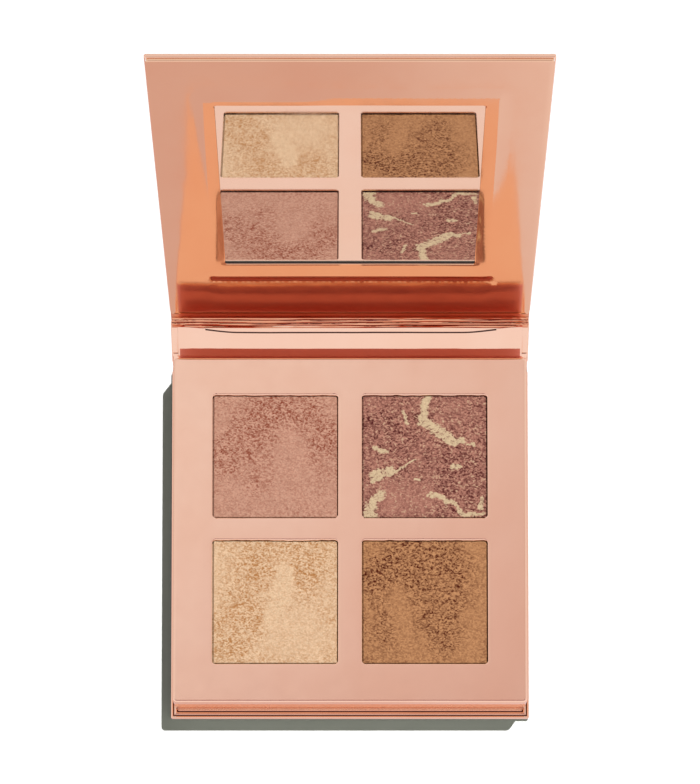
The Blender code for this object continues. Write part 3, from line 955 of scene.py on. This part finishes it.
def close_ends(name, inner, outer, x_end, bodies):
    """Closes both ends of a fold with foil pinched between its inner and its outer curve."""
    first, second = [along_curve(knots, END_COLUMNS)[0] for knots in (inner, outer)]
    share, place = np.meshgrid(np.linspace(0, 1, END_ROWS), np.arange(END_COLUMNS), indexing="ij")
    y = first[:, 0] * (1 - share) + second[:, 0] * share
    z = first[:, 1] * (1 - share) + second[:, 1] * share
    pucker = np.sin(np.pi * share) * (0.10 - 0.20 * np.abs(fractal(place / 6, share * 2, 141, 2)))
    for side, label in ((-1, "left"), (1, "right")):
        points = grid_points(side * (x_end + pucker), y, z)
        obj = add_mesh(f"{name}_{label}", "base", points, grid_faces(*y.shape), sharp=FOLD_SHARP)
        obj.data.materials.append(OUTER_FOLD_FOIL)
        finish_fold(obj, bodies, inner[1], inner[-2])


def finish_fold(obj, bodies, start, end):
    """Thickens a fold's foil and lets it bend between two bodies, from start to end in row frame (y, z)."""
    thicken(obj, FOLD_FOIL, offset=0.0)
    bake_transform(obj, *bodies, (0, start[0] * MM, start[1] * MM), (0, end[0] * MM, end[1] * MM))


LINER_COLUMNS, LINER_ROWS = 200, 44
LINER_HEIGHT = 1.16  # of its visible face over the back of the spine
LINER_BOW, BOW_START = 0.0218, 9.0  # how sharply it bows, and how far up from its lower edge that starts
BEND_SLOPE = 0.05
CUT_ROWS = 3  # rows of faces along its cut upper edge


def build_liner():
    """The spine's inner foil strip. It bows off the board towards the tray and ends in a ridge there."""
    low, high = extent("spine_liner", "spine")
    half = high[0]
    ridge, bend = low[1] + 2.1, low[1] + 4.1
    x, s = np.meshgrid(np.linspace(-half, half, LINER_COLUMNS), np.linspace(0, 1, LINER_ROWS))
    ends = smoothstep(32, half, np.abs(x))
    upper = high[1] - 0.40 + 1.5 * ends + 0.06 * fractal(x / 12, 0 * x, 121, 2)
    lower = ridge + 0.07 * fractal(x / 9, 0 * x, 124, 3)
    y = upper + (lower - upper) * s
    # It rises ever more steeply off the board, and flattens in front of the ridge.
    wavy = y + 0.06 * fractal(x / 8, 0 * x, 125, 3)
    bow = LINER_BOW * np.maximum(low[1] + BOW_START - np.maximum(wavy, bend), 0) ** 2
    z = LINER_HEIGHT + bow + BEND_SLOPE * np.maximum(bend - wavy, 0)
    z = z + 0.006 * fractal(x / 14, y / 6, 127, 2)
    # The cut upper edge slopes down to the board.
    x, y, z = np.vstack([x[:1], x]), np.vstack([y[:1] + 0.48, y]), np.vstack([z[:1] - 0.26, z])
    up = SPINE.to_3x3() @ Vector((0, 0, 1))
    obj = add_mesh("spine_liner_foil", "spine", grid_points(x, y, z), grid_faces(*x.shape), up=up)
    thicken(obj, LINER_FOIL_PAPER)
    finish_piece(obj, "spine", LINER_FOIL, "rose_foil", "spine_liner")
    in_row = LINER_COLUMNS - 1
    face = np.arange(LINER_ROWS * in_row)
    middle = np.abs(x[0, face % in_row]) < half - 7.5
    # The liner's cut upper edge is coloured nearly black: painted shade of the gap under that edge.
    recolour(obj, CUT_EDGE_GAP_SHADE, middle & (face < CUT_ROWS * in_row))
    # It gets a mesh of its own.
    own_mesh(obj)


# ------------------------ powders

POWDER_STEPS = 290
POWDER_CORNER = 1.45
POWDER_RISE = 0.60  # a pressed powder stands proud of its pan
POWDER_DROP = 0.75  # and falls away at its edge, just inside the window
GRAIN_DEPTH = 0.07
WARP, FINE_WARP = 0.9, 0.22  # how far the marks and the grains wander
VEIN_EDGES = (0.16, 1.05)


def stroke(u, v, points, width):
    """1 on a line through points, falling to 0 at width from it, in shares of the window's side."""
    best = np.full(u.shape, 9.0)
    for (u0, v0), (u1, v1) in zip(points[:-1], points[1:]):
        du, dv = u1 - u0, v1 - v0
        share = np.clip(((u - u0) * du + (v - v0) * dv) / (du * du + dv * dv), 0, 1)
        best = np.minimum(best, np.hypot(u - u0 - du * share, v - v0 - dv * share))
    return 1 - smoothstep(0.35 * width, width, best)


def blob(u, v, cu, cv, ru, rv, turn=0.0):
    """1 at the centre of an ellipse, falling to 0 at its rim. turn is in degrees, anticlockwise as seen."""
    a = math.radians(turn)
    x, y = u - cu, cv - v
    along = (x * math.cos(a) + y * math.sin(a)) / ru
    across = (y * math.cos(a) - x * math.sin(a)) / rv
    return 1 - smoothstep(0.3, 1.0, np.hypot(along, across))


def pink_marks(u, v):
    rough = 0.22 + 0.75 * stroke(u, v, [(0.72, 0.06), (0.44, 0.12), (0.27, 0.30), (0.10, 0.52)], 0.22)
    rough += 0.45 * stroke(u, v, [(0.44, 0.15), (0.40, 0.45), (0.36, 0.70)], 0.16)
    rough += 0.75 * blob(u, v, 0.84, 0.30, 0.24, 0.20, -40) + 0.35 * blob(u, v, 0.88, 0.55, 0.15, 0.2)
    rough -= 0.2 * blob(u, v, 0.62, 0.50, 0.16, 0.35)
    return rough, np.zeros_like(u)


def mauve_marks(u, v):
    rough = 0.85 + 0.2 * blob(u, v, 0.2, 0.3, 0.35, 0.25) + 0.2 * blob(u, v, 0.8, 0.65, 0.35, 0.25)
    rough -= 0.65 * blob(u, v, 0.34, 0.84, 0.36, 0.24) + 0.35 * blob(u, v, 0.70, 0.15, 0.2, 0.2)
    rough -= 0.3 * blob(u, v, 0.03, 0.05, 0.15, 0.15)
    lines = [
        ([(0.52, 0.00), (0.475, 0.21)], 0.056),
        ([(0.475, 0.21), (0.62, 0.30), (0.745, 0.39)], 0.056),
        ([(0.745, 0.39), (0.82, 0.375)], 0.030),
        ([(0.33, 0.14), (0.37, 0.20)], 0.022),
        ([(0.09, 0.45), (0.21, 0.45)], 0.024),
        ([(0.08, 0.69), (0.14, 0.65), (0.22, 0.62)], 0.050),
        ([(0.22, 0.62), (0.34, 0.565)], 0.022),
        ([(0.34, 0.565), (0.41, 0.54)], 0.012),
        ([(0.43, 0.67), (0.47, 0.68)], 0.013),
        ([(0.06, 0.99), (0.08, 0.85), (0.14, 0.80)], 0.056),
        ([(0.53, 0.825), (0.64, 0.84), (0.745, 0.90), (0.85, 0.954), (0.96, 0.977)], 0.030),
        ([(0.965, 0.83), (0.965, 0.90)], 0.032),
        ([(0.73, 0.60), (0.79, 0.59)], 0.028),
        ([(0.85, 0.405), (0.91, 0.405)], 0.012),
    ]
    vein = np.zeros_like(u)
    for points, width in lines:
        vein = np.maximum(vein, stroke(u, v, points, width))
    return rough, vein


def cream_marks(u, v):
    rough = 0.45 + 0.45 * stroke(u, v, [(0.10, 0.80), (0.33, 0.50), (0.40, 0.15), (0.75, 0.10)], 0.30)
    rough += 0.55 * blob(u, v, 0.74, 0.32, 0.14, 0.24) + 0.3 * blob(u, v, 0.90, 0.62, 0.12, 0.14)
    rough += 0.3 * blob(u, v, 0.30, 0.60, 0.16, 0.2, 45)
    flame = stroke(u, v, [(0.60, 0.26), (0.55, 0.42), (0.47, 0.62)], 0.12)
    rough -= flame + 0.55 * blob(u, v, 0.66, 0.78, 0.36, 0.26, 20)
    rough -= 0.5 * blob(u, v, 0.0, 0.3, 0.08, 0.5)
    return rough, 0.45 * flame


def bronze_marks(u, v):
    arch = [(0.14, 0.27), (0.36, 0.10), (0.62, 0.12), (0.79, 0.26), (0.78, 0.46)]
    rough = 0.40 + 0.55 * stroke(u, v, arch, 0.20)
    rough += 0.50 * stroke(u, v, [(0.40, 0.15), (0.47, 0.40), (0.54, 0.65), (0.69, 0.77)], 0.22)
    rough += 0.35 * blob(u, v, 0.12, 0.35, 0.2, 0.25) + 0.35 * blob(u, v, 0.17, 0.72, 0.2, 0.2)
    rough -= 0.35 * stroke(u, v, [(0.32, 0.50), (0.38, 0.72), (0.46, 0.98)], 0.16)
    rough -= 0.35 * stroke(u, v, [(0.94, 0.02), (0.92, 0.50), (0.80, 0.98)], 0.16)
    return rough, np.zeros_like(u)


# Each powder: name, pattern, seed, light colour, dark colour painted into the grains' hollows (speckle and
# painted shade), second colour.
POWDERS = {
    "rear_left": ("pink", pink_marks, 211, (0.525, 0.274, 0.194), (0.22, 0.05, 0.026), (0.55, 0.3, 0.22)),
    "rear_right": ("mauve", mauve_marks, 223, (0.42, 0.182, 0.133), (0.07, 0.01, 0.01), (0.6, 0.47, 0.29)),
    "front_left": ("cream", cream_marks, 237, (0.7, 0.468, 0.302), (0.39, 0.165, 0.05), (0.7, 0.49, 0.31)),
    "front_right": ("bronze", bronze_marks, 249, (0.468, 0.218, 0.098), (0.06, 0.004, 0), (0.5, 0.25, 0.12)),
}


def rounded_grid(half):
    """Points over a square from -half to half, drawn in at its corners to round them."""
    t = np.linspace(-half, half, POWDER_STEPS)
    x, y = np.meshgrid(t, t)
    straight = half - POWDER_CORNER
    over_x, over_y = np.abs(x) - straight, np.abs(y) - straight
    in_corner = (over_x > 0) & (over_y > 0)
    pull = np.maximum(over_x, over_y) / np.maximum(np.hypot(over_x, over_y), 1e-9)
    pull = np.where(in_corner, pull, 1.0)
    x = np.where(in_corner, np.sign(x) * (straight + over_x * pull), x)
    y = np.where(in_corner, np.sign(y) * (straight + over_y * pull), y)
    return x, y


def build_powder(quarter):
    slot, pattern, seed, *colours = POWDERS[quarter]
    name = f"powder_{quarter}"
    low, high = extent(name)
    centre = (low[:2] + high[:2]) / 2
    x, y = rounded_grid((high[0] - low[0]) / 2)
    warp_x = WARP * fractal(x / 3.1, y / 3.1, seed + 1) + FINE_WARP * value_noise(x / 0.6, y / 0.5, seed + 8)
    warp_y = WARP * fractal(x / 3.1, y / 3.1, seed + 2) + FINE_WARP * value_noise(x / 0.6, y / 0.5, seed + 9)
    rough, vein = pattern((x + warp_x) / WINDOW + 0.5, 0.5 - (y + warp_y) / WINDOW)
    patches = fractal(x / 5.0, y / 5.0, seed + 3)
    rough = np.clip(rough + 0.15 * patches, 0.1, 1.1)
    worm_x = x + FINE_WARP * value_noise(x / 0.7, y / 0.7, seed + 4) + 0.25 * y
    worm_y = y + FINE_WARP * value_noise(x / 0.7, y / 0.7, seed + 5)
    worms = value_noise(worm_x / 0.46, worm_y / 0.29, seed + 6)
    worms = worms + 0.6 * value_noise(x / 0.24, y / 0.19, seed + 7)
    # The higher the grain value, the deeper and darker the hollow: painted shade in the hollows, with some
    # real speckle.
    grain = np.clip(0.12 + 0.30 * rough + worms * (0.20 + 0.42 * rough), 0, 1)
    vein = vein - 0.50 * worms - 0.18 * fractal(x / 1.1, y / 1.1, seed + 10, 2)
    vein = smoothstep(*VEIN_EDGES, vein)
    grain = grain * (1 - 0.75 * vein)
    edge = np.maximum(np.abs(x), np.abs(y)) - WINDOW / 2
    height = high[2] + POWDER_RISE + 0.02 * patches - GRAIN_DEPTH * grain
    height = height - POWDER_DROP * smoothstep(-0.42, -0.10, edge)
    points = grid_points(x + centre[0], y + centre[1], height)
    faces = grid_faces(POWDER_STEPS, POWDER_STEPS)
    index = np.arange(len(points)).reshape(POWDER_STEPS, POWDER_STEPS)
    rim = [*index[0, :-1], *index[:-1, -1], *index[-1, :0:-1], *index[:0:-1, 0]]
    rim = [int(i) for i in rim]
    foot = points[rim].copy()
    foot[:, 2] = low[2]
    feet = list(range(len(points), len(points) + len(foot)))
    faces += quads(rim, feet)
    faces.append(feet)
    obj = add_mesh(f"pressed_{name}", "base", np.concatenate([points, foot]), faces, sharp=70)
    spare = np.zeros(len(foot))
    for key, values in (("grain", grain), ("vein", vein)):
        attribute = obj.data.attributes.new(key, "FLOAT", "POINT")
        attribute.data.foreach_set("value", np.concatenate([values.ravel(), spare]).astype(np.float32))
    finish_piece(obj, "base", powder_material(name, *colours), f"powder_{slot}", name)


# ------------------------ CAD nodes that stay


def dress_cad_nodes(window):
    """Gives each CAD node that isn't foil or powder the material of the first key that its name holds."""
    greyboard = fibre_material("greyboard", (0.40, 0.38, 0.345), (0.27, 0.255, 0.235), 0.9, 900.0)
    card = fibre_material("card", (0.83, 0.81, 0.775), (0.72, 0.70, 0.66), 0.8, 1400.0)
    adhesive = adhesive_material()
    kinds = {
        "adhesive": adhesive,
        "glue_pad": adhesive,
        "magnet": metal_material("magnet_nickel", (0.64, 0.64, 0.66), 0.25, (6.0, 6.0, 1.0)),
        "board": greyboard,
        "card": card,
        "tray_walls": greyboard,
        "tray_floor": card,
        "pan_bed": card,
        "foam_block": foam_material(),
        "pan_": metal_material("pan_tin", (0.72, 0.72, 0.71), 0.3, (1.0, 12.0, 1.0)),
        "mirror": mirror_material(window[2] - 0.05, MIRROR_EDGE_SHADE),
    }
    for name, obj in frame["nodes"].items():
        kind = next((key for key in kinds if key in name), None)
        if kind is not None:
            obj.data.materials.clear()
            obj.data.materials.append(kinds[kind])


# ------------------------ studio

# The studio's sizes are in metres, and its angles in degrees.
CAMERA_BACK = 0.18795  # in front of the tray's centre
CAMERA_HEIGHT = 0.7314
CAMERA_TILT = 3.302
CAMERA_LENS = 118.33  # mm
CAMERA_SHIFT = 0.8406  # of the picture's longer side
FLOOR_SIDE = 3.0
FLOOR_HEIGHT = -0.0002
BAR_SIDE, BAR_FRONT, BAR_REAR = 0.3, -0.135, 0.02
CEILING = (0.87, 0.94)  # a direction's upward share, from the walls' top to the ceiling
KEY_SUN = {"towards": (0.31, 0.42, 1.0), "strength": 3.75, "spread": 0.6}
FILL_SUN = {"towards": (0.65, -1.0, 1.0), "strength": 0.78, "spread": 110.0}
FILL_COLOUR = (0.95, 1.0, 0.82)


def add_sheet(name, box, height):
    """A staged rectangle, with its material's tree and the place on it for that tree."""
    x0, x1, y0, y1 = box
    mesh = bpy.data.meshes.new(name)
    mesh.from_pydata([(x0, y0, 0), (x1, y0, 0), (x1, y1, 0), (x0, y1, 0)], [], [(0, 1, 2, 3)])
    sheet = add_object(name, mesh)
    sheet.location.z = height
    material, tree, shader = new_material(name)
    tree.nodes.remove(shader)
    material.cycles.emission_sampling = "NONE"
    mesh.materials.append(material)
    sheet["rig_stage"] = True
    return sheet, tree, node(tree, "SeparateXYZ", Vector=place_on_piece(tree)).outputs


def build_floor():
    """White floor. Foil sees it as a warm sweep of even light instead."""
    box = (-FLOOR_SIDE, FLOOR_SIDE, -FLOOR_SIDE, FLOOR_SIDE)
    _, tree, place = add_sheet("floor", box, FLOOR_HEIGHT)
    sweep = mix(tree, ramp(tree, place["X"], 0.0, 0.085), (0.765, 0.610, 0.665), (0.93, 0.875, 1.02))
    matt = node(tree, "BsdfDiffuse", Color=(0.95, 0.95, 0.95, 1))
    seen = node(tree, "Emission", Color=sweep)
    both = node(tree, "MixShader", Fac=node(tree, "LightPath").outputs["Is Glossy Ray"])
    fill(tree, both.inputs[1], matt.outputs[0])
    fill(tree, both.inputs[2], seen.outputs[0])
    fill(tree, tree.nodes["Material Output"].inputs["Surface"], both.outputs[0])


def build_dark_bar():
    """A dark bar over the table, which the foil sees from inside the folds."""
    bar, tree, place = add_sheet("dark_bar", (-BAR_SIDE, BAR_SIDE, BAR_FRONT, BAR_REAR), CAMERA_HEIGHT)
    shade = mix(tree, ramp(tree, place["Y"], -0.075, -0.05), (0.30, 0.15, 0.25), (0.15, 0.05, 0.12))
    seen = node(tree, "Emission", Color=shade)
    fill(tree, tree.nodes["Material Output"].inputs["Surface"], seen.outputs[0])
    bar.visible_camera = False
    bar.visible_diffuse = False
    bar.visible_shadow = False


def build_world():
    """What the foil reflects: a bright room with a ceiling that darkens and warms towards the front right."""
    world = bpy.data.worlds.new("studio")
    bpy.context.scene.world = world
    world.use_nodes = True
    tree = world.node_tree
    direction = node(tree, "TexCoord").outputs["Generated"]
    split = node(tree, "SeparateXYZ", Vector=direction).outputs

    def scaled(socket, factor, offset):
        made = node(tree, "Math")
        made.operation = "MULTIPLY_ADD"
        for number, value in enumerate((socket, factor, offset)):
            fill(tree, made.inputs[number], value)
        return made.outputs[0]

    place = scaled(split["X"], -4.3, scaled(split["Y"], 3.5, -0.32))
    ceiling = mix(tree, ramp(tree, place, 0.0, 1.0), (0.71, 0.57, 0.60), (0.92, 0.92, 1.03))
    walls = mix(tree, ramp(tree, split["Y"], -0.1, 0.3), (0.98, 0.99, 1.12), (0.86, 0.85, 0.92))
    colour = mix(tree, ramp(tree, split["Z"], *CEILING), walls, ceiling)
    fill(tree, tree.nodes["Background"].inputs["Color"], colour)
    world.cycles_visibility.diffuse = False


def build_lights():
    """One hard light from the back right, high up, and a soft one from the front. Foil doesn't see them.

    Only the base's rigid pieces block the hard one, so the lid and the folds cast no shadow.
    """
    key = add_sun("key_light", **KEY_SUN)
    soft = add_sun("fill_light", **FILL_SUN)
    soft.data.color = FILL_COLOUR
    for light in (key, soft):
        light.visible_glossy = False
    blockers = bpy.data.collections.new("key_light_blockers")
    bpy.context.scene.collection.children.link(blockers)
    key.light_linking.blocker_collection = blockers
    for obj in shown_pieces():
        if "foil" in obj.name:
            obj.visible_diffuse = False
        if "base" in body_of(obj) and "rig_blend" not in obj:
            blockers.objects.link(obj)


def add_sun(name, towards, strength, spread):
    data = bpy.data.lights.new(name, "SUN")
    data.energy = strength
    data.angle = math.radians(spread)
    light = add_object(name, data)
    light.rotation_mode = "QUATERNION"
    light.rotation_quaternion = Vector(towards).to_track_quat("Z", "Y")
    return light


def build_camera():
    """A view camera: it looks almost straight down, and its shifted lens keeps the palette square."""
    data = bpy.data.cameras.new("camera")
    data.lens = CAMERA_LENS
    camera = add_object("camera", data)
    camera.location = (0, -CAMERA_BACK, CAMERA_HEIGHT)
    camera.rotation_euler = (math.radians(CAMERA_TILT), 0, 0)
    bpy.context.scene.camera = camera
    # The shift is for this view only. Other views turn the camera with a quaternion, and look straight.
    driver = data.driver_add("shift_y").driver
    driver.type = "SCRIPTED"
    mode = driver.variables.new()
    mode.name = "mode"
    mode.targets[0].id = camera
    mode.targets[0].data_path = "rotation_mode"
    driver.expression = f"{CAMERA_SHIFT} if mode == 1 else 0.0"
    bpy.context.scene.view_settings.view_transform = "Standard"


# ------------------------ main

build_tray_foil()
build_covers()
mirror_window = build_lid_panel()
build_folds()
for quarter in QUARTERS:
    build_powder(quarter)
dress_cad_nodes(mirror_window)
build_floor()
build_dark_bar()
build_world()
build_lights()
build_camera()
